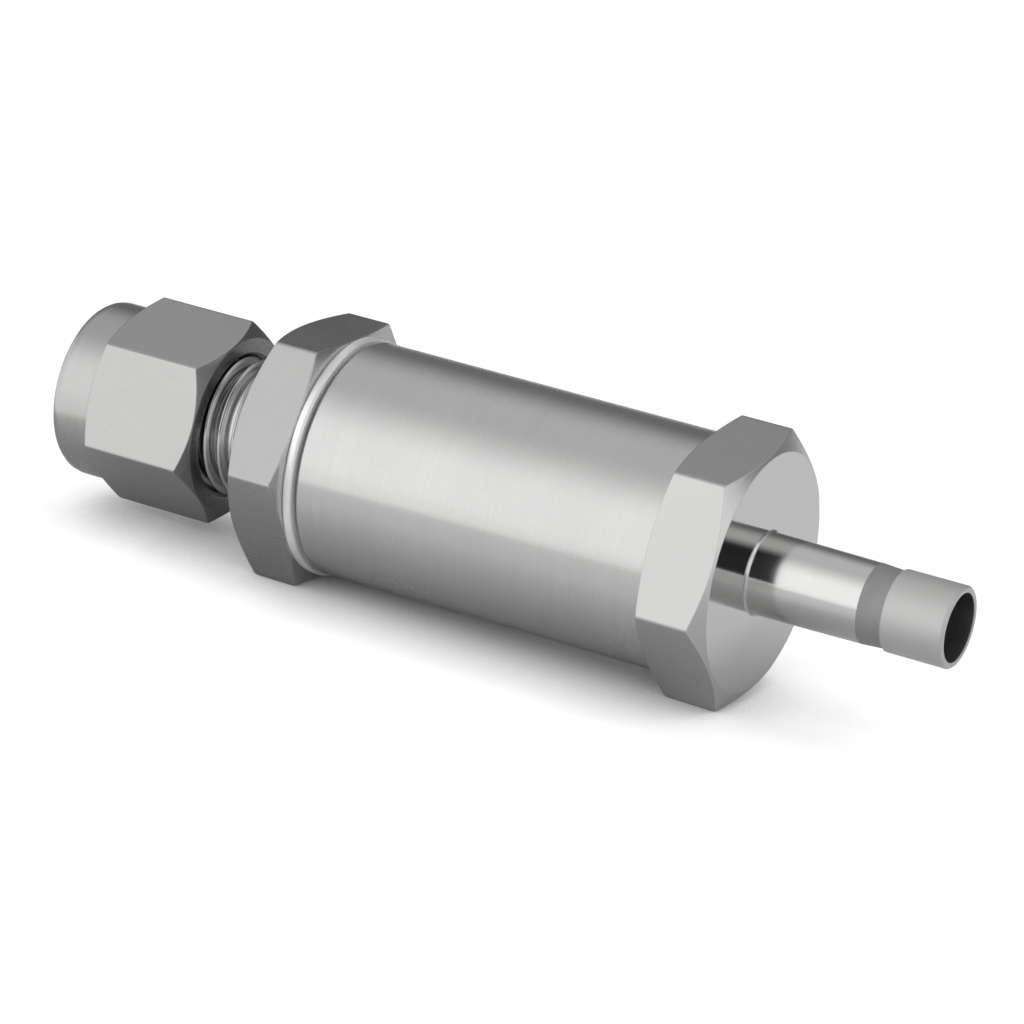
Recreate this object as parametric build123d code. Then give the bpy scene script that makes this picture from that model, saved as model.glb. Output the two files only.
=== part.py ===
from build123d import *
import math
import os

# Inline particulate filter for 6.35 mm tube, in millimetres.
# The flow axis is X: the tube fitting is at -X and the plain tube stub at +X, with Z up.
# A station is a distance along the flow axis from the bonnet's gasket face, positive towards the stub.
# A bevel is an angle in degrees from the end face that it cuts.

# Tube and fits
tube_diameter = 6.35
tube_clearance = 0.08
edge_break = 0.1
bevel_inset = 0.1

# Threads: the neck's is as wide as the ferrules inside it need, which comes to 11.11 mm
neck_thread_pitch = 1.27
spigot_thread_diameter = 14.2875
spigot_thread_pitch = 1.4111

# Body: barrel, hexagon and tube stub turned from one bar
barrel_diameter = 18.6
barrel_length = 30.1
barrel_end_chamfer = 0.45
body_hex_flats = 19.05
body_hex_width = 5.6
body_hex_barrel_bevel = 20
body_hex_stub_bevel = 27
body_hex_face_diameter = 18.6
body_hex_clocking = 10.3
body_thread_length = 10.8
cavity_flow_gap = 1.2
cavity_depth = 27.35
seat_recess_depth = 0.8
stub_length = 16.0
stub_land_length = 4.95
stub_root_diameter = 6.4
stub_waist_diameter = 6.2
stub_step_length = 0.15
stub_root_flare = 0.15
stub_end_chamfer = 0.15
outlet_diameter = 5.3

# Bonnet: threaded neck, hexagon and threaded spigot turned from one bar
bonnet_hex_flats = 19.05
bonnet_hex_width = 4.9
bonnet_hex_neck_bevel = 30
bonnet_hex_gasket_bevel = 15
neck_length = 12.6
neck_end_chamfer = 0.45
tube_insertion_depth = 15.2
mouth_lip = 0.18
mouth_half_angle = 12
inlet_diameter = 4.8
spigot_end_chamfer = 0.4
spring_seat_offset = 6.0
spring_pocket_diameter = 9.2
spring_pocket_depth = 4.5

# Nut
nut_hex_flats = 14.29
nut_length = 13.4
nut_barrel_length = 3.65
nut_barrel_diameter = 14.1
nut_barrel_rounding = 1.1
nut_barrel_bevel = 27
nut_neck_bevel = 36
nut_wall = 2.4
nut_hole_chamfer = 0.3
nut_countersink_clearance = 0.35
nut_clocking = 15.5
nut_to_bonnet_gap = 5.0

# Ferrules
front_ferrule_wall = 1.19
front_ferrule_clearance = 0.424
front_ferrule_length = 4.0
back_ferrule_wall = 0.845
back_ferrule_length = 1.75
ferrule_nest_width = 0.65
ferrule_nest_depth = 0.45

# Gasket, filter element and spring
gasket_diameter = 19.1
gasket_thickness = 0.75
gasket_bore_clearance = 0.2
element_diameter = 9.6
element_length = 17.5
element_wall = 1.5
element_end_wall = 1.8
element_chamfer = 0.6
element_clearance = 0.1
spring_wire_diameter = 0.8
spring_pocket_clearance = 0.8
spring_turns = 3
spring_wire_sides = 6

# Outside threads are left at their root and inside threads at their crest, which clear each other.
ROOT_DEPTH = 1.2268
CREST_DEPTH = 1.0825
tube_radius = tube_diameter / 2
passage_radius = tube_radius + tube_clearance
front_ferrule_radius = passage_radius + front_ferrule_wall
back_ferrule_radius = passage_radius + back_ferrule_wall
nest_radius = passage_radius + ferrule_nest_width
nut_crest_radius = front_ferrule_radius + front_ferrule_clearance
neck_thread_diameter = 2 * nut_crest_radius + CREST_DEPTH * neck_thread_pitch
neck_root_radius = (neck_thread_diameter - ROOT_DEPTH * neck_thread_pitch) / 2
spigot_root_radius = (spigot_thread_diameter - ROOT_DEPTH * spigot_thread_pitch) / 2
body_crest_radius = (spigot_thread_diameter - CREST_DEPTH * spigot_thread_pitch) / 2

# Other radii that follow from the sizes above
gasket_bore_radius = spigot_thread_diameter / 2 + gasket_bore_clearance
mouth_radius = neck_root_radius - neck_end_chamfer - mouth_lip
element_radius = element_diameter / 2
cavity_radius = element_radius + cavity_flow_gap
pocket_radius = spring_pocket_diameter / 2
outlet_radius = outlet_diameter / 2
inlet_radius = inlet_diameter / 2

# Stations of the body, which is clamped on the gasket
body_start = gasket_thickness
barrel_end = body_start + barrel_length
body_hex_end = barrel_end + body_hex_width
stub_end = body_hex_end + stub_length
land_start = stub_end - stub_land_length
cavity_floor = body_start + cavity_depth
seat_floor = cavity_floor + seat_recess_depth

# Stations of the bonnet, the nut and the ferrules
bonnet_hex_start = -bonnet_hex_width
neck_end = bonnet_hex_start - neck_length
nut_neck_face = bonnet_hex_start - nut_to_bonnet_gap
nut_end = nut_neck_face - nut_length
nut_shoulder = nut_end + nut_wall
nut_hex_start = nut_end + nut_barrel_length
socket_floor = nut_end + tube_insertion_depth
front_ferrule_back = nut_shoulder + back_ferrule_length - ferrule_nest_depth
front_ferrule_nose = front_ferrule_back + front_ferrule_length

# The element stands on the body's seat, and the spring fills what is left up to the bonnet's pocket.
element_start = seat_floor - element_length
pocket_floor = spring_seat_offset
spigot_end = pocket_floor + spring_pocket_depth

# The part's origin is halfway along the flow axis.
middle = (nut_end + stub_end) / 2


def turned(*outline):
    """Solid of revolution about the flow axis; each outline point is (station, radius)."""
    return revolve(make_face(Polyline(*outline, close=True)), Axis.X)


def mouth_cone_radius(station):
    """Radius of the cone that the bonnet's mouth and the front ferrule share."""
    return mouth_radius - (station - neck_end) * math.tan(math.radians(mouth_half_angle))


def mouth_cone_station(radius):
    """Station where the shared cone has a given radius."""
    return neck_end + (mouth_radius - radius) / math.tan(math.radians(mouth_half_angle))


def hexagon(start, end, flats, clocking, start_radius, start_bevel, end_radius, end_bevel):
    """Hexagon whose corners are bevelled by turning, from the given radius of each end face outwards.

    With no clocking one flat faces straight down.
    """
    reach = flats / math.sqrt(3) + 1
    start_drop = (reach - start_radius) * math.tan(math.radians(start_bevel))
    end_drop = (reach - end_radius) * math.tan(math.radians(end_bevel))
    blank = turned(
        (start, 0),
        (start, start_radius),
        (start + start_drop, reach),
        (end - end_drop, reach),
        (end, end_radius),
        (end, 0),
    )
    outline = Plane.YZ.offset(start) * RegularPolygon(flats / 2, 6, major_radius=False)
    bar = extrude(outline, end - start)
    bar = chamfer(bar.edges().filter_by(Axis.X), edge_break)
    return Rot(X=clocking) * bar & blank


def rim(solid, station, radius):
    """Circular edges of a solid at one station and radius."""

    def matches(edge):
        centre = edge.arc_center
        same_station = math.isclose(centre.X, station, abs_tol=1e-4)
        return same_station and math.isclose(edge.radius, radius, abs_tol=1e-4)

    return solid.edges().filter_by(GeomType.CIRCLE).filter_by(matches)


def make_body():
    """Barrel, hexagon and tube stub in one piece, hollowed for the filter element."""
    barrel_radius = barrel_diameter / 2
    barrel = turned(
        (body_start, 0),
        (body_start, barrel_radius - barrel_end_chamfer),
        (body_start + barrel_end_chamfer, barrel_radius),
        (barrel_end, barrel_radius),
        (barrel_end, 0),
    )
    wrench_hex = hexagon(
        barrel_end,
        body_hex_end,
        body_hex_flats,
        body_hex_clocking,
        body_hex_flats / 2 - bevel_inset,
        body_hex_barrel_bevel,
        body_hex_face_diameter / 2,
        body_hex_stub_bevel,
    )
    root_radius = stub_root_diameter / 2
    stub = turned(
        (body_hex_end, 0),
        (body_hex_end, root_radius + stub_root_flare),
        (body_hex_end + stub_root_flare, root_radius),
        (land_start - stub_step_length, stub_waist_diameter / 2),
        (land_start, tube_radius),
        (stub_end - stub_end_chamfer, tube_radius),
        (stub_end, tube_radius - stub_end_chamfer),
        (stub_end, 0),
    )
    thread_end = body_start + body_thread_length
    entry_radius = gasket_bore_radius
    seat_radius = element_radius + element_clearance
    hollow = turned(
        (body_start, 0),
        (body_start, entry_radius),
        (body_start + entry_radius - body_crest_radius, body_crest_radius),
        (thread_end, body_crest_radius),
        (thread_end, cavity_radius),
        (cavity_floor, cavity_radius),
        (cavity_floor, seat_radius),
        (seat_floor, seat_radius),
        (seat_floor, outlet_radius),
        (stub_end, outlet_radius),
        (stub_end, 0),
    )
    return barrel + wrench_hex + stub - hollow


def make_bonnet():
    """Threaded neck with the tube socket, hexagon, and threaded spigot with the spring pocket."""
    neck = turned(
        (neck_end, 0),
        (neck_end, neck_root_radius - neck_end_chamfer),
        (neck_end + neck_end_chamfer, neck_root_radius),
        (bonnet_hex_start, neck_root_radius),
        (bonnet_hex_start, 0),
    )
    wrench_hex = hexagon(
        bonnet_hex_start,
        0,
        bonnet_hex_flats,
        0,
        bonnet_hex_flats / 2 - bevel_inset,
        bonnet_hex_neck_bevel,
        bonnet_hex_flats / 2 - bevel_inset,
        bonnet_hex_gasket_bevel,
    )
    spigot = turned(
        (0, 0),
        (0, spigot_root_radius),
        (spigot_end - spigot_end_chamfer, spigot_root_radius),
        (spigot_end, spigot_root_radius - spigot_end_chamfer),
        (spigot_end, 0),
    )
    passage = turned(
        (neck_end, 0),
        (neck_end, mouth_radius),
        (mouth_cone_station(passage_radius), passage_radius),
        (socket_floor, passage_radius),
        (socket_floor, inlet_radius),
        (pocket_floor, inlet_radius),
        (pocket_floor, pocket_radius),
        (spigot_end, pocket_radius),
        (spigot_end, 0),
    )
    return neck + wrench_hex + spigot - passage


def make_nut():
    """Compression nut: a rounded barrel and a hexagon around the ferrules and the bonnet's neck."""
    barrel_radius = nut_barrel_diameter / 2
    barrel = turned(
        (nut_end, 0),
        (nut_end, barrel_radius),
        (nut_hex_start, barrel_radius),
        (nut_hex_start, 0),
    )
    barrel = fillet(rim(barrel, nut_end, barrel_radius), nut_barrel_rounding)
    wrench_hex = hexagon(
        nut_hex_start,
        nut_neck_face,
        nut_hex_flats,
        nut_clocking,
        barrel_radius,
        nut_barrel_bevel,
        nut_hex_flats / 2 - bevel_inset,
        nut_neck_bevel,
    )
    countersink_radius = neck_thread_diameter / 2 + nut_countersink_clearance
    passage = turned(
        (nut_end, 0),
        (nut_end, passage_radius + nut_hole_chamfer),
        (nut_end + nut_hole_chamfer, passage_radius),
        (nut_shoulder, passage_radius),
        (nut_shoulder, nut_crest_radius),
        (nut_neck_face - countersink_radius + nut_crest_radius, nut_crest_radius),
        (nut_neck_face, countersink_radius),
        (nut_neck_face, 0),
    )
    return barrel + wrench_hex - passage


def make_front_ferrule():
    """Ferrule whose cone seats in the bonnet's mouth; its back takes the back ferrule's nose."""
    return turned(
        (front_ferrule_back, nest_radius),
        (front_ferrule_back, front_ferrule_radius),
        (mouth_cone_station(front_ferrule_radius), front_ferrule_radius),
        (front_ferrule_nose, mouth_cone_radius(front_ferrule_nose)),
        (front_ferrule_nose, passage_radius),
        (front_ferrule_back + nest_radius - passage_radius, passage_radius),
    )


def make_back_ferrule():
    """Ferrule pushed by the nut's shoulder; its 45 degree nose nests in the front ferrule."""
    nose = front_ferrule_back + ferrule_nest_depth
    return turned(
        (nut_shoulder, passage_radius),
        (nut_shoulder, back_ferrule_radius),
        (front_ferrule_back - back_ferrule_radius + nest_radius, back_ferrule_radius),
        (nose, nest_radius - ferrule_nest_depth),
        (nose, passage_radius),
    )


def make_gasket():
    """Flat ring clamped between the bonnet's hexagon and the body."""
    outer_radius = gasket_diameter / 2
    return turned(
        (0, gasket_bore_radius),
        (0, outer_radius),
        (gasket_thickness, outer_radius),
        (gasket_thickness, gasket_bore_radius),
    )


def make_filter_element():
    """Sintered cup: closed towards the bonnet, with its open end standing in the body's seat."""
    bore_radius = element_radius - element_wall
    bore_end = element_start + element_end_wall
    cup = turned(
        (element_start, 0),
        (element_start, element_radius),
        (seat_floor, element_radius),
        (seat_floor, bore_radius),
        (bore_end, bore_radius),
        (bore_end, 0),
    )
    return chamfer(rim(cup, element_start, element_radius), element_chamfer)


def make_spring():
    """Compression spring, ground flat at both ends, from the bonnet's pocket to the element."""
    length = element_start - pocket_floor
    mean_radius = pocket_radius - spring_pocket_clearance - spring_wire_diameter / 2
    coil = Helix(length / spring_turns, length, mean_radius, (pocket_floor, 0, 0), (1, 0, 0))
    section = Plane(origin=coil @ 0, z_dir=coil % 0) * RegularPolygon(spring_wire_diameter / 2, spring_wire_sides)
    wire = sweep(section, path=coil)
    reach = mean_radius + spring_wire_diameter
    between_faces = turned((pocket_floor, 0), (pocket_floor, reach), (element_start, reach), (element_start, 0))
    return wire & between_faces


makers = {
    "body": make_body,
    "bonnet": make_bonnet,
    "nut": make_nut,
    "front_ferrule": make_front_ferrule,
    "back_ferrule": make_back_ferrule,
    "gasket": make_gasket,
    "filter_element": make_filter_element,
    "spring": make_spring,
}

os.makedirs("parts", exist_ok=True)
for node, make in makers.items():
    export_step(Pos(X=-middle) * make(), f"parts/{node}.step")
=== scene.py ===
import bmesh
import bpy
import math
import numpy as np
from mathutils import Matrix, Vector


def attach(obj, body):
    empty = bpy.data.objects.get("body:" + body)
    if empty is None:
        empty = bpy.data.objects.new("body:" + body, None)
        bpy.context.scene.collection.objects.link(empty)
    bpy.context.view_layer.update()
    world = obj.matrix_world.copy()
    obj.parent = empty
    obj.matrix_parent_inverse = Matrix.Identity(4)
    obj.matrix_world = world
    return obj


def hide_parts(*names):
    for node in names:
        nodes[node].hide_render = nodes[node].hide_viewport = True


# Inline particulate filter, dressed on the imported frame. Stations x and radii are in millimetres
# here and become metres when a mesh is made. The flow axis is X, and angle t is measured about it
# from +Z towards -Y.
MM = 0.001

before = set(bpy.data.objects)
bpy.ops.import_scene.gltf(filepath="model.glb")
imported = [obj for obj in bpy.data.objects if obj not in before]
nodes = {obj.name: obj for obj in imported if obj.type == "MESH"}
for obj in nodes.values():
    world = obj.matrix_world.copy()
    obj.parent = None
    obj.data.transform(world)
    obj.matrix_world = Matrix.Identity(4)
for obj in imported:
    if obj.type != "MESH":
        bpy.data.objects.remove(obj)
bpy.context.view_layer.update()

# Stations along the flow axis
NUT_START, NUT_HEX_START, NUT_END = -37.875, -34.225, -24.475
NECK_START, SOCKET_FLOOR, BONNET_HEX_START = -32.075, -22.675, -19.475
GASKET_START, BARREL_START = -14.575, -13.825
POCKET_FLOOR, SPIGOT_END, ELEMENT_START = -8.575, -4.075, -3.175
CAVITY_FLOOR, SEAT_FLOOR = 13.525, 14.325
BODY_HEX_START, END_FACE, STUB_END = 16.275, 21.875, 37.875

# Widths across flats, turns of the hexagons in degrees, and radii
HOUSING_FLATS, NUT_FLATS = 19.05, 14.29
BODY_CLOCKING, NUT_CLOCKING = 10.3, 15.5
BARREL_RADIUS, HEX_FACE_RADIUS, END_FACE_RADIUS = 9.3, 9.425, 9.3
NUT_BARREL_RADIUS, NUT_FACE_RADIUS = 7.05, 7.045
GASKET_RADIUS, GASKET_BORE = 9.55, 7.344
TUBE_HOLE, STUB_RADIUS, OUTLET_RADIUS, INLET_RADIUS = 3.255, 3.175, 2.65, 2.4
CAVITY_RADIUS, SEAT_RADIUS, POCKET_RADIUS, FERRULE_ROOM = 6.0, 4.9, 4.6, 4.869

# Chamfers, and the flat rim and half angle of the neck's mouth
CHAMFER, SPIGOT_CHAMFER, NUT_CHAMFER = 0.45, 0.4, 0.3
MOUTH_RIM, MOUTH_ANGLE = 0.18, 12

# Threads: pitch, crest and root radius of the outside ones, their turn in degrees, and the play
NECK_PITCH, NECK_MAJOR, NECK_ROOT, NECK_PHASE = 1.27, 5.556, 4.777, 200
SPIGOT_PITCH, SPIGOT_MAJOR, SPIGOT_ROOT, SPIGOT_PHASE = 1.4111, 7.144, 6.278, 40
THREAD_PLAY = 0.05

# Spring: turns, and the radii of the coil and of the wire
SPRING_TURNS, SPRING_RADIUS, WIRE_RADIUS = 3, 3.4, 0.4

# Rounding of turned edges, and how sharp the hexagons' corners are
EDGE_RADIUS = 0.05
HEX_CORNER_POWER = 145

# Coincident points closer than this are joined, and edges shorter than the second closed, in metres
WELD_DISTANCE, SHORTEST_EDGE = 2e-7, 1e-7


# Surfaces


def turn_angles(clocking=0.0, per_sector=60, crowding=0.75):
    """Angles round the axis, closed, crowded at the six corners of a hexagon with that clocking.

    In each sixth the angle is 30 (u + c sin(pi u) / pi) degrees for u from -1 to 1, so the spacing
    is smallest at the corners.
    """
    u = np.linspace(-1, 1, per_sector, endpoint=False)
    sector = 30 * (u + crowding * np.sin(np.pi * u) / np.pi)
    around = (sector[None, :] + 60 * np.arange(6)[:, None]).ravel()
    return np.radians(np.append(around, around[0] + 360) + clocking)


def hexagon_radius(t, flats, clocking):
    """Distance from the axis to a hexagon with rounded corners.

    One over the radius is the p-norm over the six flats of cos(t - normal) / half the flats.
    """
    normals = np.radians(clocking + 60 * np.arange(6))
    facing = np.maximum(np.cos(t[None, :] - normals[:, None]), 0) / (flats / 2)
    return (facing**HEX_CORNER_POWER).sum(0) ** (-1 / HEX_CORNER_POWER)


def eased(corners, radii, segments=4, margin=0.05):
    """Rounds each corner of closed profiles, one profile per angle.

    corners has the shape (corner, angle, 2). Each corner gets a circular arc that touches both
    edges: it starts radius tan(turn / 2) before the corner, and takes up at most 0.45 of an edge.
    A row just outside each end of the arc keeps the neighbouring face flat.
    """
    before = np.roll(corners, 1, axis=0)
    after = np.roll(corners, -1, axis=0)
    arriving, leaving = corners - before, after - corners
    length_in = np.linalg.norm(arriving, axis=2, keepdims=True)
    length_out = np.linalg.norm(leaving, axis=2, keepdims=True)
    d1 = arriving / np.maximum(length_in, 1e-9)
    d2 = leaving / np.maximum(length_out, 1e-9)
    turn = np.arccos(np.clip((d1 * d2).sum(2, keepdims=True), -1, 1))
    side = np.sign(d1[..., 0] * d2[..., 1] - d1[..., 1] * d2[..., 0])[..., None]
    normal = side * np.stack([-d1[..., 1], d1[..., 0]], axis=2)
    room = 0.45 * np.minimum(length_in, length_out)
    reach = np.minimum(np.asarray(radii, float)[:, None, None] * np.tan(turn / 2), room)
    radius = reach / np.maximum(np.tan(turn / 2), 1e-6)
    start = corners - d1 * reach
    centre = start + normal * radius
    rows = [start - d1 * np.minimum(margin, 0.3 * (length_in - reach))]
    for share in np.linspace(0, 1, segments + 1):
        rows.append(centre - normal * radius * np.cos(turn * share) + d1 * radius * np.sin(turn * share))
    end = corners + d2 * reach
    rows.append(end + d2 * np.minimum(margin, 0.3 * (length_out - reach)))
    return np.stack(rows, axis=1).reshape(-1, corners.shape[1], 2)


def around_axis(x, r, t):
    """Points at station x and radius r, turned by t about the flow axis, in metres."""
    x, r, t = np.broadcast_arrays(x, r, t)
    return np.stack([x, -r * np.sin(t), r * np.cos(t)], axis=-1) * MM


def grid_faces(rows, columns, closed_rows):
    """Quads of a grid of points, with the last row joined to the first if closed_rows."""
    i = np.arange(rows if closed_rows else rows - 1)[:, None]
    j = np.arange(columns - 1)[None, :]
    after = (i + 1) % rows
    quads = [i * columns + j, i * columns + j + 1, after * columns + j + 1, after * columns + j]
    return np.stack(np.broadcast_arrays(*quads), axis=-1).reshape(-1, 4)


def mesh_piece(name, points, faces, materials, face_slots, replaced=()):
    """Makes a piece from points and quads, joins coincident points and lets it ride on the root."""
    mesh = bpy.data.meshes.new(name)
    mesh.vertices.add(len(points))
    mesh.vertices.foreach_set("co", points.astype(np.float32).ravel())
    mesh.loops.add(faces.size)
    mesh.loops.foreach_set("vertex_index", faces.astype(np.int32).ravel())
    mesh.polygons.add(len(faces))
    mesh.polygons.foreach_set("loop_start", np.arange(0, faces.size, 4, dtype=np.int32))
    mesh.polygons.foreach_set("material_index", np.asarray(face_slots, np.int32))
    mesh.polygons.foreach_set("use_smooth", np.ones(len(faces), bool))
    mesh.update(calc_edges=True)
    mesh.validate()
    for material in materials:
        mesh.materials.append(material)
    weld(mesh)
    piece = bpy.data.objects.new(name, mesh)
    bpy.context.scene.collection.objects.link(piece)
    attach(piece, "root")
    if replaced:
        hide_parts(*replaced)
    return piece


def weld(mesh):
    """Joins coincident points and drops faces that close up."""
    work = bmesh.new()
    work.from_mesh(mesh)
    bmesh.ops.remove_doubles(work, verts=work.verts, dist=WELD_DISTANCE)
    bmesh.ops.dissolve_degenerate(work, dist=SHORTEST_EDGE, edges=work.edges)
    work.to_mesh(mesh)
    work.free()


def turned_piece(name, t, profile, materials, replaced=()):
    """A solid turned about the axis whose profile may change with the angle, as a hexagon's does.

    profile is a list of (station, radius, rounding, material number), where station and radius may
    be arrays over the angles, in order along the outside towards +X and back inside. The number is
    that of the face between this corner and the next.
    """
    corners = np.stack(
        [np.stack(np.broadcast_arrays(x + 0 * t, r + 0 * t), axis=-1) for x, r, _, _ in profile]
    )
    rows = eased(corners, [p[2] for p in profile])
    per_corner = len(rows) // len(profile)
    points = around_axis(rows[..., 0], rows[..., 1], t[None, :]).reshape(-1, 3)
    faces = grid_faces(len(rows), len(t), closed_rows=True)
    numbers = np.array([p[3] for p in profile])
    row_slots = np.roll(np.repeat(numbers, per_corner), per_corner // 2)
    slots = np.repeat(row_slots, len(t) - 1)
    return mesh_piece(name, points, faces, materials, slots, replaced)


def helical_ridge(name, start, end, pitch, root, crest, phase, materials, fade=0.6, per_turn=96):
    """A closed thread ridge wound right-handed round the axis.

    The section is a trapezium with 30 degree flanks, given by offsets along the axis and shares of
    the height. It is carried along x = start + pitch s and t = phase + 2 pi s, where s counts turns.
    Its height fades to nothing and its width to 0.15 of the whole over part of a turn at both ends,
    and its foot is sunk a little.
    A crest below the root makes the ridge of an inside thread.
    """
    turns = (end - start) / pitch
    s = np.linspace(0, turns, int(turns * per_turn) + 1)
    rise = np.clip(np.minimum(s, turns - s) / fade, 0, 1)
    rise = rise * rise * (3 - 2 * rise)
    height = crest - root
    flank = abs(height) * math.tan(math.radians(30))
    flat = pitch / 16
    sunk = -0.06 * np.sign(height)
    side = np.array([flat, flat + 0.35 * flank, flat + flank, flat + flank])
    offsets = np.concatenate([-side[::-1], side])
    heights = np.array([0, 0, 0.65, 1, 1, 0.65, 0, 0])
    inside = np.array([1, 0, 0, 0, 0, 0, 0, 1])
    x = start + pitch * s[None, :] + offsets[:, None] * (0.15 + 0.85 * rise[None, :])
    foot = sunk * (inside[:, None] + 0.2 * (heights[:, None] == 0))
    r = root + height * heights[:, None] * rise[None, :] + foot
    t = phase + 2 * np.pi * s[None, :]
    points = around_axis(x, r, t).reshape(-1, 3)
    faces = grid_faces(len(offsets), len(s), closed_rows=True)
    if height > 0:
        faces = faces[:, ::-1]
    caps = np.array([[0, 1, 6, 7], [1, 2, 5, 6], [2, 3, 4, 5]]) * len(s)
    ends = np.concatenate([caps, caps[:, ::-1] + len(s) - 1])
    if height < 0:
        ends = ends[:, ::-1]
    faces = np.concatenate([faces, ends])
    return mesh_piece(name, points, faces, materials, np.zeros(len(faces), int))


def coil_spring(name, start, end, turns, mean_radius, wire_radius, material, sides=20, per_turn=72):
    """A compression spring ground flat at both ends.

    A circle of the wire's radius is carried along x = start + pitch s and t = -2 pi s, where s counts
    turns, and leans with the helix. Points past either end face are brought back to it.
    """
    s = np.linspace(-0.02, turns + 0.02, int(turns * per_turn) + 1)
    around = np.linspace(0, 2 * np.pi, sides, endpoint=False)
    pitch = (end - start) / turns
    slope = math.atan(pitch / (2 * np.pi * mean_radius))
    x = start + pitch * s[None, :] + wire_radius * np.sin(around)[:, None] * math.cos(slope)
    r = mean_radius + wire_radius * np.cos(around)[:, None] + 0 * x
    t = -2 * np.pi * s[None, :] + np.sin(around)[:, None] * wire_radius * math.sin(slope) / mean_radius
    points = around_axis(np.clip(x, start, end), r, t).reshape(-1, 3)
    faces = grid_faces(sides, len(s), closed_rows=True)
    columns = np.arange(sides // 2 - 1)
    caps = np.stack([columns, columns + 1, sides - 2 - columns, sides - 1 - columns], axis=-1) * len(s)
    faces = np.concatenate([faces, caps, caps[:, ::-1] + len(s) - 1])
    return mesh_piece(name, points, faces, [material], np.zeros(len(faces), int), ["spring"])


# Node helpers


def add(tree, kind, inputs=None, **settings):
    """Adds a node; an input is linked if its value is a socket and set otherwise."""
    made = tree.nodes.new(kind)
    for key, value in settings.items():
        setattr(made, key, value)
    for key, value in (inputs or {}).items():
        if isinstance(value, bpy.types.NodeSocket):
            tree.links.new(value, made.inputs[key])
        else:
            made.inputs[key].default_value = value
    return made


def maths(tree, operation, first, second=0.0, clamp=False):
    """One sum on two values; clamp keeps the result from 0 to 1."""
    made = add(tree, "ShaderNodeMath", {0: first, 1: second}, operation=operation, use_clamp=clamp)
    return made.outputs[0]


def spread(tree, value, low_in, high_in, low_out, high_out):
    """Maps a value from one range to another, kept inside it."""
    inputs = {"Value": value, "From Min": low_in, "From Max": high_in, "To Min": low_out, "To Max": high_out}
    return add(tree, "ShaderNodeMapRange", inputs).outputs[0]


def new_group(name, inputs, outputs):
    """A shader group with inputs and outputs by name, all numbers but an output called Normal."""
    tree = bpy.data.node_groups.new(name, "ShaderNodeTree")
    for label, value in inputs.items():
        socket = tree.interface.new_socket(label, in_out="INPUT", socket_type="NodeSocketFloat")
        socket.default_value = value
    for label in outputs:
        kind = "NodeSocketVector" if label == "Normal" else "NodeSocketFloat"
        tree.interface.new_socket(label, in_out="OUTPUT", socket_type=kind)
    source = tree.nodes.new("NodeGroupInput")
    sink = tree.nodes.new("NodeGroupOutput")
    return tree, source.outputs, sink.inputs


def object_place(tree):
    """Object coordinates, in metres from the part's origin."""
    return add(tree, "ShaderNodeTexCoord").outputs["Object"]


def axial_place(tree):
    """Object coordinates, with the station, the distance from the flow axis and the place across it."""
    place = object_place(tree)
    parts = add(tree, "ShaderNodeSeparateXYZ", {0: place}).outputs
    across = add(tree, "ShaderNodeCombineXYZ", {"Y": parts["Y"], "Z": parts["Z"]}).outputs[0]
    radius = add(tree, "ShaderNodeVectorMath", {0: across}, operation="LENGTH").outputs["Value"]
    return place, parts["X"], radius, across


# Effects


def build_lathe_marks():
    """Rings left by turning: noise over station plus radius, which drifts slowly round the axis."""
    tree, given, put = new_group(
        "lathe_marks", {"Pitch": 0.00012, "Drift": 60.0}, ["Fine", "Bands", "Patches"]
    )
    place, station, radius, across = axial_place(tree)
    along = maths(tree, "ADD", station, maths(tree, "MULTIPLY", radius, 1.37))
    w = maths(tree, "DIVIDE", along, given["Pitch"])
    drift = add(tree, "ShaderNodeVectorMath", {0: across, "Scale": given["Drift"]},
                operation="SCALE").outputs[0]
    fine = add(tree, "ShaderNodeTexNoise", {"Vector": drift, "W": w, "Scale": 1.0, "Detail": 2.0},
               noise_dimensions="4D").outputs[0]
    slow = maths(tree, "MULTIPLY", w, 0.11)
    bands = add(tree, "ShaderNodeTexNoise", {"Vector": drift, "W": slow, "Scale": 1.0, "Detail": 3.0},
                noise_dimensions="4D").outputs[0]
    patches = add(tree, "ShaderNodeTexNoise", {"Vector": place, "Scale": 330.0, "Detail": 4.0}).outputs[0]
    tree.links.new(fine, put["Fine"])
    tree.links.new(bands, put["Bands"])
    tree.links.new(patches, put["Patches"])
    return tree


def build_bar_grain():
    """Satin grain of drawn bar: short marks along the bar over a fine even speckle."""
    tree, given, put = new_group(
        "bar_grain", {"Scale": 9000.0, "Stretch": 7.0}, ["Grain", "Speckle", "Patches"]
    )
    place = object_place(tree)
    shrink = maths(tree, "DIVIDE", 1.0, given["Stretch"])
    factors = add(tree, "ShaderNodeCombineXYZ", {"X": shrink, "Y": 1.0, "Z": 1.0}).outputs[0]
    drawn = add(tree, "ShaderNodeVectorMath", {0: place, 1: factors}, operation="MULTIPLY").outputs[0]
    grain = add(tree, "ShaderNodeTexNoise",
                {"Vector": drawn, "Scale": given["Scale"], "Detail": 3.0}).outputs[0]
    coarser = maths(tree, "MULTIPLY", given["Scale"], 0.8)
    speckle = add(tree, "ShaderNodeTexNoise", {"Vector": place, "Scale": coarser, "Detail": 1.0}).outputs[0]
    patches = add(tree, "ShaderNodeTexNoise", {"Vector": place, "Scale": 260.0, "Detail": 5.0}).outputs[0]
    tree.links.new(grain, put["Grain"])
    tree.links.new(speckle, put["Speckle"])
    tree.links.new(patches, put["Patches"])
    return tree


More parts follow.
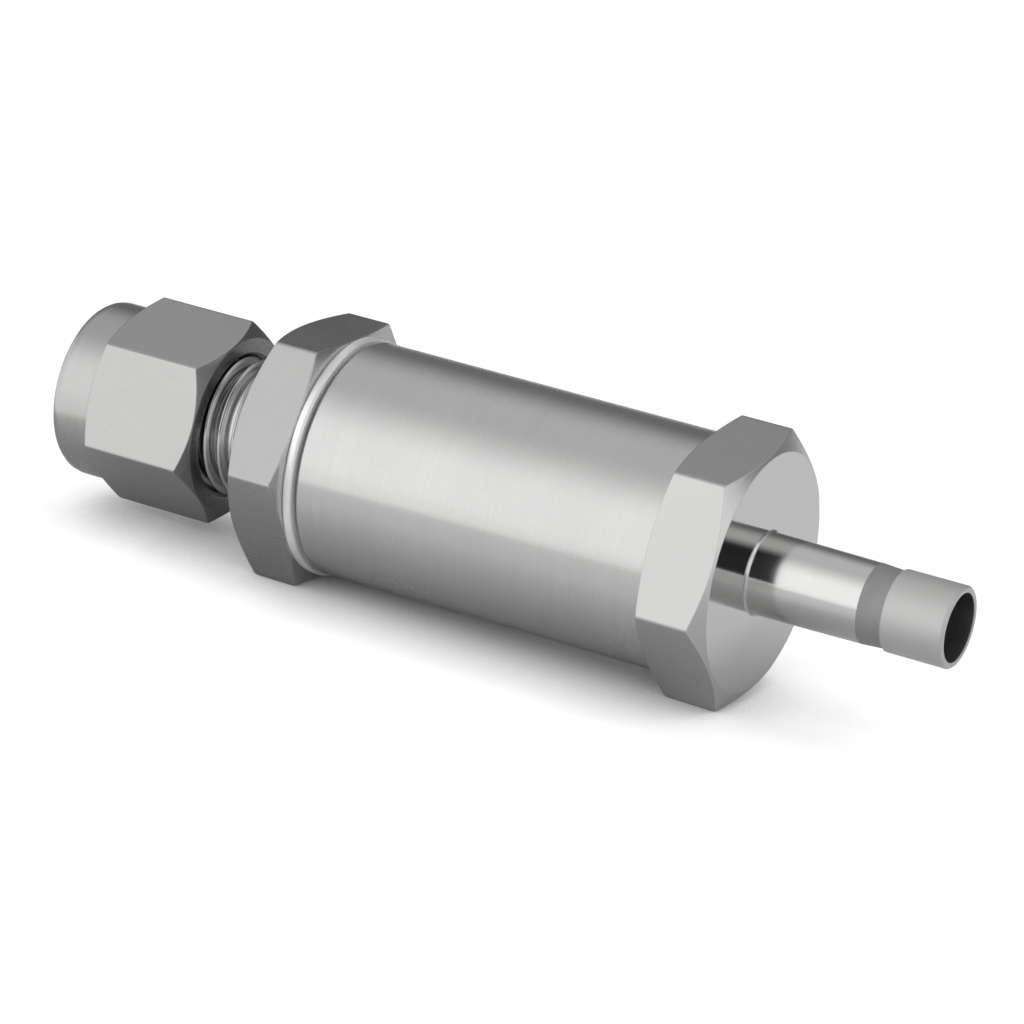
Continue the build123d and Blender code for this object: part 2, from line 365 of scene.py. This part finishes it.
def build_edge_shine():
    """Mask of worn edges, which also paints a highlight on them: how far the rounded normal leans from the
    face's own.
    """
    tree, given, put = new_group("edge_shine", {"Radius": 0.00012, "Gain": 3.0}, ["Edge", "Normal"])
    rounded = add(tree, "ShaderNodeBevel", {"Radius": given["Radius"]}, samples=4).outputs[0]
    flat = add(tree, "ShaderNodeNewGeometry").outputs["Normal"]
    agree = add(tree, "ShaderNodeVectorMath", {0: rounded, 1: flat}, operation="DOT_PRODUCT").outputs["Value"]
    lean = maths(tree, "SUBTRACT", 1.0, agree)
    edge = maths(tree, "MULTIPLY", lean, given["Gain"], clamp=True)
    tree.links.new(edge, put["Edge"])
    tree.links.new(rounded, put["Normal"])
    return tree


def build_handling():
    """Faint smudges and hairline scratches from handling."""
    tree, given, put = new_group("handling", {"Scale": 140.0}, ["Smudge", "Scratch"])
    place = object_place(tree)
    smudge = add(tree, "ShaderNodeTexNoise",
                 {"Vector": place, "Scale": given["Scale"], "Detail": 3.0, "Distortion": 0.6}).outputs[0]
    tree.links.new(spread(tree, smudge, 0.42, 0.68, 0.0, 1.0), put["Smudge"])
    bent = add(tree, "ShaderNodeMapping",
               {"Vector": place, "Rotation": (0.5, 0.9, 0.3), "Scale": (60, 2600, 2600)}).outputs[0]
    hair = add(tree, "ShaderNodeTexNoise", {"Vector": bent, "Scale": 1.0, "Detail": 1.0}).outputs[0]
    tree.links.new(spread(tree, hair, 0.70, 0.76, 0.0, 1.0), put["Scratch"])
    return tree


LATHE_MARKS = build_lathe_marks()
BAR_GRAIN = build_bar_grain()
EDGE_SHINE = build_edge_shine()
HANDLING = build_handling()


def group(tree, which, **values):
    """Places an effect in a material with its own values."""
    made = tree.nodes.new("ShaderNodeGroup")
    made.node_tree = which
    for label, value in values.items():
        made.inputs[label].default_value = value
    return made.outputs


def new_material(name):
    """A metal material with its tree and its shader."""
    material = bpy.data.materials.new(name)
    material.use_nodes = True
    tree = material.node_tree
    tree.nodes.clear()
    out = tree.nodes.new("ShaderNodeOutputMaterial")
    shader = tree.nodes.new("ShaderNodeBsdfPrincipled")
    shader.inputs["Metallic"].default_value = 1.0
    tree.links.new(shader.outputs[0], out.inputs["Surface"])
    return material, tree, shader


def tone(tree, mask, dark, light):
    """Colour between two greys by a mask."""
    mix = add(tree, "ShaderNodeMix", data_type="RGBA")
    tree.links.new(mask, mix.inputs["Factor"])
    mix.inputs["A"].default_value = (*dark, 1.0)
    mix.inputs["B"].default_value = (*light, 1.0)
    return mix.outputs["Result"]


# Warmth of the steel's grey, the grey of worn edges with their painted highlight, and how strongly the edge
# mask reads a lean
STEEL_WARMTH = 0.008
EDGE_WEAR_HIGHLIGHT_GREY = 0.85
EDGE_GAIN = 3.0


def grey(value, warm=0.0):
    """A grey, warmer where warm is above 0."""
    return (value * (1 + warm), value, value * (1 - warm))


def weighted(tree, first, second, third):
    """Sum of three masks, each given with its share."""
    parts = [maths(tree, "MULTIPLY", mask, share) for mask, share in (first, second, third)]
    return maths(tree, "ADD", parts[0], maths(tree, "ADD", parts[1], parts[2]))


def steel_colour(tree, shader, mask, shade, contrast, edge, edge_highlight_share):
    """Grey that varies by a mask and brightens on worn edges, partly as a painted highlight."""
    darker = grey(shade * (1 - contrast), STEEL_WARMTH)
    lighter = grey(shade * (1 + contrast), STEEL_WARMTH)
    colour = tone(tree, mask, darker, lighter)
    lit = add(tree, "ShaderNodeMix", data_type="RGBA")
    tree.links.new(maths(tree, "MULTIPLY", edge["Edge"], edge_highlight_share), lit.inputs["Factor"])
    tree.links.new(colour, lit.inputs["A"])
    lit.inputs["B"].default_value = (*grey(EDGE_WEAR_HIGHLIGHT_GREY), 1.0)
    tree.links.new(lit.outputs["Result"], shader.inputs["Base Color"])


def relief(tree, shader, height, depth, rounded=None):
    """Relief of a depth in metres, over the rounded normal of worn edges where there is one."""
    inputs = {"Height": height, "Strength": 1.0, "Distance": depth}
    if rounded is not None:
        inputs["Normal"] = rounded
    tree.links.new(add(tree, "ShaderNodeBump", inputs).outputs[0], shader.inputs["Normal"])


def turned_steel(name, shade, roughness, anisotropy, pitch, depth, contrast):
    """Lathe-turned stainless steel: rings in colour, roughness and relief, brighter worn edges with a painted
    highlight.

    pitch and depth are those of the rings, in metres. The anisotropy's tangent is the flow axis
    crossed with the place, turned by a quarter.
    """
    material, tree, shader = new_material(name)
    marks = group(tree, LATHE_MARKS, Pitch=pitch)
    edge = group(tree, EDGE_SHINE, Gain=EDGE_GAIN)
    touch = group(tree, HANDLING)
    blend = weighted(tree, (marks["Fine"], 0.5), (marks["Bands"], 0.3), (marks["Patches"], 0.2))
    steel_colour(tree, shader, spread(tree, blend, 0.32, 0.68, 0.0, 1.0), shade, contrast, edge, 0.35)
    rough = spread(tree, blend, 0.3, 0.7, roughness * 0.85, roughness * 1.15)
    smudged = maths(tree, "MULTIPLY", touch["Smudge"], roughness * 0.18)
    tree.links.new(maths(tree, "ADD", rough, smudged), shader.inputs["Roughness"])
    height = maths(tree, "ADD", maths(tree, "MULTIPLY", marks["Fine"], 0.7),
                   maths(tree, "MULTIPLY", marks["Bands"], 1.3))
    relief(tree, shader, height, depth, edge["Normal"])
    shader.inputs["Anisotropic"].default_value = anisotropy
    if anisotropy:
        circling = add(tree, "ShaderNodeVectorMath", {0: (1, 0, 0), 1: object_place(tree)},
                       operation="CROSS_PRODUCT").outputs[0]
        level = add(tree, "ShaderNodeVectorMath", {0: circling}, operation="NORMALIZE").outputs[0]
        tree.links.new(level, shader.inputs["Tangent"])
        shader.inputs["Anisotropic Rotation"].default_value = 0.25
    return material


def satin_steel(name, shade, roughness, depth, contrast):
    """Satin hexagon flats: drawn grain and speckle, soft patches, brighter worn edges with a painted
    highlight.
    """
    material, tree, shader = new_material(name)
    grain = group(tree, BAR_GRAIN)
    edge = group(tree, EDGE_SHINE, Gain=EDGE_GAIN)
    touch = group(tree, HANDLING)
    blend = weighted(tree, (grain["Grain"], 0.45), (grain["Speckle"], 0.3), (grain["Patches"], 0.25))
    steel_colour(tree, shader, spread(tree, blend, 0.34, 0.66, 0.0, 1.0), shade, contrast, edge, 0.4)
    rough = spread(tree, blend, 0.3, 0.7, roughness * 0.88, roughness * 1.12)
    rough = maths(tree, "SUBTRACT", rough, maths(tree, "MULTIPLY", touch["Scratch"], roughness * 0.2))
    rough = maths(tree, "ADD", rough, maths(tree, "MULTIPLY", touch["Smudge"], roughness * 0.15))
    tree.links.new(rough, shader.inputs["Roughness"])
    relief(tree, shader, blend, depth, edge["Normal"])
    return material


def sintered_metal(name):
    """Sintered cup: fused grains with dark pores between them."""
    material, tree, shader = new_material(name)
    place = object_place(tree)
    cells = add(tree, "ShaderNodeTexVoronoi", {"Vector": place, "Scale": 5200.0},
                feature="SMOOTH_F1").outputs[0]
    clumps = add(tree, "ShaderNodeTexNoise", {"Vector": place, "Scale": 1500.0, "Detail": 4.0}).outputs[0]
    packed = maths(tree, "ADD", cells, maths(tree, "MULTIPLY", clumps, 0.5))
    pores = spread(tree, packed, 0.45, 0.95, 1.0, 0.0)
    tree.links.new(tone(tree, pores, grey(0.10), grey(0.47, 0.015)), shader.inputs["Base Color"])
    tree.links.new(spread(tree, pores, 0.0, 1.0, 0.85, 0.45), shader.inputs["Roughness"])
    relief(tree, shader, pores, 0.00006)
    return material


def silver_plate(name):
    """Bright, soft plating on the gasket, slightly uneven."""
    material, tree, shader = new_material(name)
    marks = group(tree, LATHE_MARKS, Pitch=0.0002)
    touch = group(tree, HANDLING, Scale=420.0)
    mask = spread(tree, marks["Patches"], 0.35, 0.65, 0.0, 1.0)
    tree.links.new(tone(tree, mask, grey(0.95), grey(1.0)), shader.inputs["Base Color"])
    rough = spread(tree, maths(tree, "ADD", marks["Fine"], touch["Smudge"]), 0.3, 1.5, 0.52, 0.7)
    tree.links.new(rough, shader.inputs["Roughness"])
    relief(tree, shader, marks["Fine"], 0.000004)
    return material


# Finishes. For turned_steel: shade, roughness, anisotropy, pitch and depth of the rings, contrast.
# For satin_steel: shade, roughness, depth of the grain, contrast.
barrel_turned = turned_steel("barrel_turned", 0.64, 0.24, 0.85, 0.00013, 0.0000010, 0.05)
body_satin = satin_steel("body_satin", 0.58, 0.3, 0.0000008, 0.03)
bonnet_satin = satin_steel("bonnet_satin", 0.44, 0.25, 0.0000008, 0.03)
nut_satin = satin_steel("nut_satin", 0.5, 0.22, 0.0000008, 0.03)
bevel_turned = turned_steel("bevel_turned", 0.58, 0.2, 0.0, 0.0001, 0.0000004, 0.03)
end_bevel_turned = turned_steel("end_bevel_turned", 0.74, 0.3, 0.0, 0.0001, 0.0000003, 0.02)
end_face_polished = turned_steel("end_face_polished", 0.7, 0.08, 0.0, 0.00006, 0.00000005, 0.012)
stub_polished = turned_steel("stub_polished", 0.68, 0.12, 0.0, 0.00009, 0.0000001, 0.02)
stub_groove = turned_steel("stub_groove", 0.45, 0.65, 0.0, 0.00012, 0.0000004, 0.03)
stub_land = turned_steel("stub_land", 0.68, 0.6, 0.0, 0.0001, 0.0000005, 0.03)
# Bores and the faces hidden inside: a dull turned finish, and a darker grey that is painted shade.
dull_bore_painted_shade = turned_steel("dull_bore_painted_shade", 0.35, 0.38, 0.0, 0.00016, 0.0000018, 0.1)
nut_barrel = turned_steel("nut_barrel", 0.52, 0.26, 0.6, 0.00012, 0.0000008, 0.04)
# The nut's bevel and end face towards the neck are a darker grey: painted shade between the nut and the
# bonnet.
nut_neck_bevel_painted_shade = turned_steel("nut_neck_bevel_painted_shade", 0.29, 0.24, 0.0, 0.0001, 0.0000004, 0.03)
thread_steel = turned_steel("thread_steel", 0.6, 0.17, 0.0, 0.00008, 0.0000004, 0.03)
ferrule_turned = turned_steel("ferrule_turned", 0.62, 0.15, 0.0, 0.00008, 0.0000003, 0.03)
spring_wire = turned_steel("spring_wire", 0.5, 0.22, 0.0, 0.00025, 0.0000006, 0.06)
gasket_silver = silver_plate("gasket_silver")
sintered = sintered_metal("sintered")


# Pieces


def hexagon_corners(t, flats, clocking, start, end, start_radius, start_bevel, end_radius, end_bevel):
    """Four profile corners of a bevelled hexagon for each angle.

    The start face runs out to its radius, a cone rises from there to the hexagon, the flat runs
    along the axis, and another cone falls to the end face.
    """
    h = hexagon_radius(t, flats, clocking)
    near = np.minimum(start_radius, h - 0.06)
    far = np.minimum(end_radius, h - 0.06)
    rise = start + (h - near) * math.tan(math.radians(start_bevel))
    fall = end - (h - far) * math.tan(math.radians(end_bevel))
    return (start, near), (rise, h), (fall, h), (end, far)


def dress_body():
    """Barrel, hexagon, end face and stub in one closed surface with the bores behind them."""
    t = turn_angles(BODY_CLOCKING)
    face, rise, fall, end = hexagon_corners(t, HOUSING_FLATS, BODY_CLOCKING, BODY_HEX_START, END_FACE,
                                            HEX_FACE_RADIUS, 20, END_FACE_RADIUS, 27)
    barrel, bevel, flat, polish, stub, groove, land, dull_shaded, end_bevel = range(9)
    e = EDGE_RADIUS
    thread = SPIGOT_MAJOR + THREAD_PLAY
    profile = [
        (BARREL_START, GASKET_BORE, 0.04, bevel),
        (BARREL_START, BARREL_RADIUS - CHAMFER, e, bevel),
        (BARREL_START + CHAMFER, BARREL_RADIUS, e, barrel),
        (BODY_HEX_START, BARREL_RADIUS, 0.02, bevel),
        (*face, 0.03, bevel),
        (*rise, e, flat),
        (*fall, e, end_bevel),
        (*end, e, polish),
        # Stub: foot, polished length, groove, and the land with the chamfer at its end
        (END_FACE, 3.33, 0.04, stub),
        (22.0, 3.2, 0.08, stub),
        (30.9, 3.1, 0.06, groove),
        (32.775, 2.985, 0.03, land),
        (32.925, STUB_RADIUS, 0.06, land),
        (37.725, STUB_RADIUS, 0.08, land),
        (STUB_END, 3.025, 0.06, land),
        # The inside faces carry painted shade as a darker grey.
        # Inside: outlet, the element's seat, cavity and threaded bore
        (STUB_END, OUTLET_RADIUS, 0.05, dull_shaded),
        (SEAT_FLOOR, OUTLET_RADIUS, 0.04, dull_shaded),
        (SEAT_FLOOR, SEAT_RADIUS, 0.02, dull_shaded),
        (CAVITY_FLOOR, SEAT_RADIUS, 0.04, dull_shaded),
        (CAVITY_FLOOR, CAVITY_RADIUS, 0.1, dull_shaded),
        (-3.025, CAVITY_RADIUS, 0.04, dull_shaded),
        (-3.025, thread, 0.04, dull_shaded),
        (-13.625, thread, 0.02, dull_shaded),
    ]
    finishes = [barrel_turned, bevel_turned, body_satin, end_face_polished, stub_polished, stub_groove,
                stub_land, dull_bore_painted_shade, end_bevel_turned]
    turned_piece("filter_body", t, profile, finishes, ["body"])


def dress_bonnet():
    """Neck with the tube socket, hexagon and spigot in one closed surface."""
    t = turn_angles(0)
    face, rise, fall, end = hexagon_corners(t, HOUSING_FLATS, 0, BONNET_HEX_START, GASKET_START,
                                            HEX_FACE_RADIUS, 30, HEX_FACE_RADIUS, 15)
    flat, bevel, threaded, dull_shaded = range(4)
    e = EDGE_RADIUS
    rim = NECK_ROOT - CHAMFER
    mouth = rim - MOUTH_RIM
    cone_end = NECK_START + (mouth - TUBE_HOLE) / math.tan(math.radians(MOUTH_ANGLE))
    profile = [
        (NECK_START, mouth, 0.03, dull_shaded),
        (NECK_START, rim, e, dull_shaded),
        (NECK_START + CHAMFER, NECK_ROOT, e, threaded),
        (BONNET_HEX_START, NECK_ROOT, 0.12, bevel),
        (*face, e, bevel),
        (*rise, e, flat),
        (*fall, e, bevel),
        (*end, e, bevel),
        (GASKET_START, SPIGOT_ROOT, e, threaded),
        (SPIGOT_END - SPIGOT_CHAMFER, SPIGOT_ROOT, e, dull_shaded),
        (SPIGOT_END, SPIGOT_ROOT - SPIGOT_CHAMFER, e, dull_shaded),
        # The inside faces carry painted shade as a darker grey.
        # Inside: the spring's pocket, inlet passage and tube socket
        (SPIGOT_END, POCKET_RADIUS, e, dull_shaded),
        (POCKET_FLOOR, POCKET_RADIUS, e, dull_shaded),
        (POCKET_FLOOR, INLET_RADIUS, e, dull_shaded),
        (SOCKET_FLOOR, INLET_RADIUS, 0.04, dull_shaded),
        (SOCKET_FLOOR, TUBE_HOLE, 0.02, dull_shaded),
        (cone_end, TUBE_HOLE, e, dull_shaded),
    ]
    finishes = [bonnet_satin, bevel_turned, thread_steel, dull_bore_painted_shade]
    turned_piece("bonnet_turned", t, profile, finishes, ["bonnet"])


def dress_nut():
    """Rounded barrel, hexagon and bore of the compression nut in one closed surface."""
    t = turn_angles(NUT_CLOCKING)
    face, rise, fall, end = hexagon_corners(t, NUT_FLATS, NUT_CLOCKING, NUT_HEX_START, NUT_END,
                                            NUT_BARREL_RADIUS, 27, NUT_FACE_RADIUS, 36)
    flat, barrel, bevel, dull_shaded, neck_bevel_shaded = range(5)
    e = EDGE_RADIUS
    thread = NECK_MAJOR + THREAD_PLAY
    profile = [
        (NUT_START, TUBE_HOLE + NUT_CHAMFER, e, barrel),
        (NUT_START, NUT_BARREL_RADIUS, 1.1, barrel),
        (*face, 0.04, bevel),
        (*rise, e, flat),
        # Bevel and end face towards the neck: painted shade.
        (*fall, e, neck_bevel_shaded),
        (*end, 0.06, neck_bevel_shaded),
        # The inside faces carry painted shade as a darker grey.
        # Inside: threaded bore, room for the ferrules, shoulder and tube hole
        (NUT_END, thread + NUT_CHAMFER, 0.06, dull_shaded),
        (NUT_END - NUT_CHAMFER, thread, 0.04, dull_shaded),
        (-34.2, thread, 0.04, dull_shaded),
        (-34.9, FERRULE_ROOM, 0.04, dull_shaded),
        (-35.475, FERRULE_ROOM, 0.03, dull_shaded),
        (-35.475, TUBE_HOLE, 0.04, dull_shaded),
        (NUT_START + NUT_CHAMFER, TUBE_HOLE, e, dull_shaded),
    ]
    finishes = [nut_satin, nut_barrel, bevel_turned, dull_bore_painted_shade, nut_neck_bevel_painted_shade]
    turned_piece("compression_nut", t, profile, finishes, ["nut"])


def dress_gasket():
    """Plated ring with softly rounded edges."""
    profile = [
        (GASKET_START, GASKET_BORE, 0.05, 0),
        (GASKET_START, GASKET_RADIUS, 0.2, 0),
        (BARREL_START, GASKET_RADIUS, 0.2, 0),
        (BARREL_START, GASKET_BORE, 0.05, 0),
    ]
    turned_piece("gasket_ring", turn_angles(0), profile, [gasket_silver], ["gasket"])


def cut_threads():
    """The ridges of both screwed joints.

    The inner ridges lie off the middle of the outer ones' gaps, by 0.2 mm at the neck and 0.09 mm at
    the spigot, so they overlap there by 0.18 and 0.06 mm, inside the nut and the body.
    """
    neck, spigot = math.radians(NECK_PHASE), math.radians(SPIGOT_PHASE)
    nut_bore, nut_crest = NECK_MAJOR + THREAD_PLAY, NECK_ROOT + THREAD_PLAY + 0.04
    body_bore, body_crest = SPIGOT_MAJOR + THREAD_PLAY, SPIGOT_ROOT + THREAD_PLAY + 0.05
    helical_ridge("neck_thread", -31.5, -20.0, NECK_PITCH, NECK_ROOT, NECK_MAJOR, neck,
                  [thread_steel])
    helical_ridge("nut_thread", -33.6, -25.2, NECK_PITCH, nut_bore, nut_crest, neck,
                  [dull_bore_painted_shade])
    helical_ridge("spigot_thread", -14.0, -4.7, SPIGOT_PITCH, SPIGOT_ROOT, SPIGOT_MAJOR, spigot,
                  [thread_steel])
    helical_ridge("body_thread", -13.2, -3.3, SPIGOT_PITCH, body_bore, body_crest, spigot,
                  [dull_bore_painted_shade])


def finish_inner_nodes():
    """The nodes whose shapes stay get their finishes in the slots that they have."""
    for name, finish in (("front_ferrule", ferrule_turned), ("back_ferrule", ferrule_turned),
                         ("filter_element", sintered)):
        for slot in nodes[name].material_slots:
            slot.material = finish


dress_body()
dress_bonnet()
dress_nut()
dress_gasket()
cut_threads()
coil_spring(
    "spring_coil", POCKET_FLOOR, ELEMENT_START, SPRING_TURNS, SPRING_RADIUS, WIRE_RADIUS, spring_wire
)
finish_inner_nodes()


# Set


def place_camera():
    """Camera at the photograph's place, given in millimetres, with its right, up and back axes."""
    data = bpy.data.cameras.new("camera")
    data.lens = 163.24
    data.sensor_width = 36
    data.clip_start, data.clip_end = 0.01, 20
    camera = bpy.data.objects.new("camera", data)
    right = Vector((0.86952709, 0.48265092, 0.10474125))
    up = Vector((-0.24596495, 0.23928689, 0.93927793))
    back = Vector((0.42828015, -0.84249028, 0.32678164))
    turn = Matrix((right, up, back)).transposed().to_4x4()
    camera.matrix_world = Matrix.Translation(Vector((152.739, -299.766, 115.469)) * MM) @ turn
    bpy.context.scene.collection.objects.link(camera)
    bpy.context.scene.camera = camera


def panel(name, corners, material, seen=False, lamp=False):
    """A flat stage panel through its corners in metres.

    One that isn't seen shows in reflections alone. Only a lamp is sampled as a light.
    """
    mesh = bpy.data.meshes.new(name)
    mesh.from_pydata([Vector(c) for c in corners], [], [tuple(range(len(corners)))])
    mesh.materials.append(material)
    material.cycles.emission_sampling = "AUTO" if lamp else "NONE"
    made = bpy.data.objects.new(name, mesh)
    bpy.context.scene.collection.objects.link(made)
    made.visible_camera = made.visible_diffuse = made.visible_shadow = seen


def plain_material(name):
    """A stage material with an empty tree and the surface socket of its output."""
    material = bpy.data.materials.new(name)
    material.use_nodes = True
    material.node_tree.nodes.clear()
    out = material.node_tree.nodes.new("ShaderNodeOutputMaterial")
    return material, material.node_tree, out.inputs["Surface"]


def white_light(tree, strength):
    """White emission of a strength, which may be a socket."""
    return add(tree, "ShaderNodeEmission", {"Color": (1, 1, 1, 1), "Strength": strength}).outputs[0]


def glow(name, strength):
    """Plain light surface of one strength."""
    material, tree, surface = plain_material(name)
    tree.links.new(white_light(tree, strength), surface)
    return material


def glowing_matte(tree, surface, colour, strength):
    """A matte surface that also gives light."""
    matte = add(tree, "ShaderNodeBsdfDiffuse", {"Color": colour}).outputs[0]
    both = add(tree, "ShaderNodeAddShader", {0: matte, 1: white_light(tree, strength)})
    tree.links.new(both.outputs[0], surface)


def shown_directly(tree):
    """1 where the camera, a reflection or glass looks at the surface, and 0 for the light it gives."""
    seen = add(tree, "ShaderNodeLightPath").outputs
    mirrored = maths(tree, "MAXIMUM", seen["Is Glossy Ray"], seen["Is Transmission Ray"])
    return maths(tree, "MAXIMUM", seen["Is Camera Ray"], mirrored)


# Paper: its own shade, the light that lifts it to white, how far in metres the part takes that
# light away, and the openness at which the light starts and is whole
PAPER_SHADE, PAPER_LIFT = 0.3, 0.9
SHADOW_REACH, SHADOW_CORE, SHADOW_END = 0.0105, 0.05, 0.64


def floor_material(name):
    """White paper, lifted to white for the camera and in reflections except close under the part.

    The lift follows how open the paper is within a short distance, so the shadow stays soft.
    """
    material, tree, surface = plain_material(name)
    openness = add(tree, "ShaderNodeAmbientOcclusion", {"Distance": SHADOW_REACH}, samples=4).outputs["AO"]
    lift = spread(tree, openness, SHADOW_CORE, SHADOW_END, 0.0, PAPER_LIFT)
    glowing_matte(tree, surface, (PAPER_SHADE, PAPER_SHADE, PAPER_SHADE, 1),
                  maths(tree, "MULTIPLY", lift, shown_directly(tree)))
    return material


# Grey card: its painted shade under the part and its grey around it, and the most light it gives on either
# side
CARD_PAINTED_SHADE_UNDER, CARD_AROUND = 0.64, 0.95
CARD_LIGHT_AHEAD, CARD_LIGHT_BEYOND = 0.16, 0.15


def shade_card_material(name):
    """Matte card on the floor, seen in reflections. Its places are in metres along X and Y.

    It paints the part's shade on the floor into reflections: darkest in a strip under the part, and paler
    past the end face on the far side. It gives a faint light in front of the part, and another behind and
    past the end face, so that reflections brighten there.
    """
    material, tree, surface = plain_material(name)
    parts = add(tree, "ShaderNodeSeparateXYZ", {0: object_place(tree)}).outputs
    painted_shade_strip = spread(tree, maths(tree, "ABSOLUTE", parts["Y"]), 0.006, 0.022, CARD_PAINTED_SHADE_UNDER, CARD_AROUND)
    past = maths(tree, "MULTIPLY", spread(tree, parts["X"], 0.018, 0.03, 0.0, CARD_AROUND),
                 spread(tree, parts["Y"], -0.006, 0.006, 0.5, 1.0))
    left = spread(tree, parts["X"], 0.024, 0.034, 1.0, 0.0)
    ahead = maths(tree, "MULTIPLY", spread(tree, parts["Y"], -0.04, -0.008, CARD_LIGHT_AHEAD, 0.0), left)
    behind = spread(tree, parts["Y"], -0.015, 0.005, 0.0, 1.0)
    beyond = maths(tree, "MULTIPLY", spread(tree, parts["X"], 0.016, 0.026, 0.0, CARD_LIGHT_BEYOND), behind)
    glowing_matte(tree, surface, maths(tree, "MAXIMUM", painted_shade_strip, past), maths(tree, "MAXIMUM", ahead, beyond))
    return material


# Light tent: size in metres, angles in degrees, and levels, of which 1 shows as white
TENT_RADIUS, TENT_HALF_LENGTH = 0.6, 1.3
TENT_START, TENT_END, TENT_COLUMNS = -92, 104, 99
REAR_DARK, OVERHEAD, OVERHEAD_END, FRONT, FRONT_END, FLOOR_EDGE = -68, -24, 0, 54, 80, 112
REAR_LEVEL, OVERHEAD_LEVEL, FRONT_LEVEL, LOW_LEVEL = 0.18, 0.62, 1.22, 1.05

# Black flag on the tent: metres along X where it comes in and goes out, degrees round the axis over
# which it starts, and the share of the light that it takes
FLAG_IN, FLAG_OUT, FLAG_TURN, FLAG_DEPTH = (0.08, 0.12), (0.52, 0.44), (-12, 20), 0.985


def soft_step(tree, value, start, end, rise):
    """A smooth step of the given height between two values."""
    inputs = {"Value": value, "From Min": start, "From Max": end, "To Min": 0.0, "To Max": rise}
    return add(tree, "ShaderNodeMapRange", inputs, interpolation_type="SMOOTHSTEP").outputs[0]


def turn_step(tree, angle, start, end, rise):
    """A smooth step between two angles in degrees."""
    return soft_step(tree, angle, math.radians(start), math.radians(end), rise)


def tent_material(name):
    """Light of the tent by the angle round the flow axis, from +Z towards -Y.

    Dim at the back, even overhead, brightest in front and a little less towards the floor. A black
    flag takes the light from the front past the stub's end, over a stretch along the axis.
    """
    material, tree, surface = plain_material(name)
    parts = add(tree, "ShaderNodeSeparateXYZ", {0: object_place(tree)}).outputs
    angle = maths(tree, "ARCTAN2", maths(tree, "MULTIPLY", parts["Y"], -1.0), parts["Z"])
    overhead = turn_step(tree, angle, REAR_DARK, OVERHEAD, OVERHEAD_LEVEL - REAR_LEVEL)
    front = turn_step(tree, angle, OVERHEAD_END, FRONT, FRONT_LEVEL - OVERHEAD_LEVEL)
    low = turn_step(tree, angle, FRONT_END, FLOOR_EDGE, LOW_LEVEL - FRONT_LEVEL)
    level = maths(tree, "ADD", maths(tree, "ADD", overhead, front), maths(tree, "ADD", low, REAR_LEVEL))
    flag = maths(tree, "MULTIPLY", soft_step(tree, parts["X"], *FLAG_IN, 1.0),
                 turn_step(tree, angle, *FLAG_TURN, 1.0))
    flag = maths(tree, "MULTIPLY", flag, soft_step(tree, parts["X"], *FLAG_OUT, 1.0))
    left = maths(tree, "SUBTRACT", 1.0, maths(tree, "MULTIPLY", flag, FLAG_DEPTH))
    tree.links.new(white_light(tree, maths(tree, "MULTIPLY", level, left)), surface)
    return material


def light_tent():
    """Half cylinder of light over the part, along the flow axis, that the camera doesn't see.

    Points are (x, -radius sin(angle), radius cos(angle)).
    """
    x = np.array([-TENT_HALF_LENGTH, TENT_HALF_LENGTH])
    angle = np.radians(np.linspace(TENT_START, TENT_END, TENT_COLUMNS))
    points = around_axis(x[:, None] / MM, TENT_RADIUS / MM, angle[None, :]).reshape(-1, 3)
    mesh = bpy.data.meshes.new("light_tent")
    mesh.from_pydata(points.tolist(), [], grid_faces(2, TENT_COLUMNS, closed_rows=False).tolist())
    mesh.materials.append(tent_material("tent_light"))
    mesh.materials[0].cycles.emission_sampling = "NONE"
    tent = bpy.data.objects.new("light_tent", mesh)
    bpy.context.scene.collection.objects.link(tent)
    tent.visible_camera = False
    tent.visible_shadow = False


# Floor under the part: depth below the axis at one station, and its slope, as the part rests on it
REST_STATION, REST_DEPTH, REST_SLOPE = -19.417, 9.525, 0.0224

# In metres: how far the floor stays below the part and the card above the floor, and the floor's reach
FLOOR_PLAY, CARD_LIFT, FLOOR_REACH = 0.00001, 0.00005, 2.5
CARD_OUTLINE = [(-0.0926, 0.0369), (0.0884, -0.2019), (0.5, -0.2), (0.5, 0.45), (-0.3, 0.45), (-0.3, 0.04)]
RIGHT_CARD = [(0.7, 0.4, 0.12), (0.7, -0.05, 0.12), (0.7, -0.05, 0.52), (0.7, 0.4, 0.52)]

# Light of the right card, and of the world
RIGHT_LEVEL, WORLD_LEVEL = 1.1, 0.5


def on_floor(outline, lift=0.0):
    """Puts an outline in X and Y on the floor, all in metres.

    The floor passes the bonnet's flat and the body's lowest corner, so its height falls by the
    slope times the distance from the rest station.
    """
    heights = [(-REST_DEPTH - REST_SLOPE * (x / MM - REST_STATION)) * MM - FLOOR_PLAY for x, _ in outline]
    return [(x, y, height + lift) for (x, y), height in zip(outline, heights)]


def build_set():
    """Floor, the grey card round the filter that only reflections see, and the lights."""
    far = FLOOR_REACH
    square = [(-far, -far), (far, -far), (far, far), (-far, far)]
    panel("floor", on_floor(square), floor_material("floor_paper"), seen=True)
    # The card paints the part's shade on the floor into the reflections.
    panel("painted_shade_card", on_floor(CARD_OUTLINE, CARD_LIFT), shade_card_material("card_painted_shade"))
    light_tent()
    panel("right_card", RIGHT_CARD, glow("card_bright", RIGHT_LEVEL), lamp=True)


def light_the_world(level):
    """Even grey surroundings that show as white behind the floor's edge."""
    world = bpy.data.worlds.new("world")
    bpy.context.scene.world = world
    world.use_nodes = True
    tree = world.node_tree
    sky = tree.nodes["Background"]
    sky.inputs["Color"].default_value = (1, 1, 1, 1)
    tree.links.new(spread(tree, shown_directly(tree), 0.0, 1.0, level, 1.0), sky.inputs["Strength"])


place_camera()
build_set()
light_the_world(WORLD_LEVEL)
bpy.context.scene.view_settings.view_transform = "Standard"
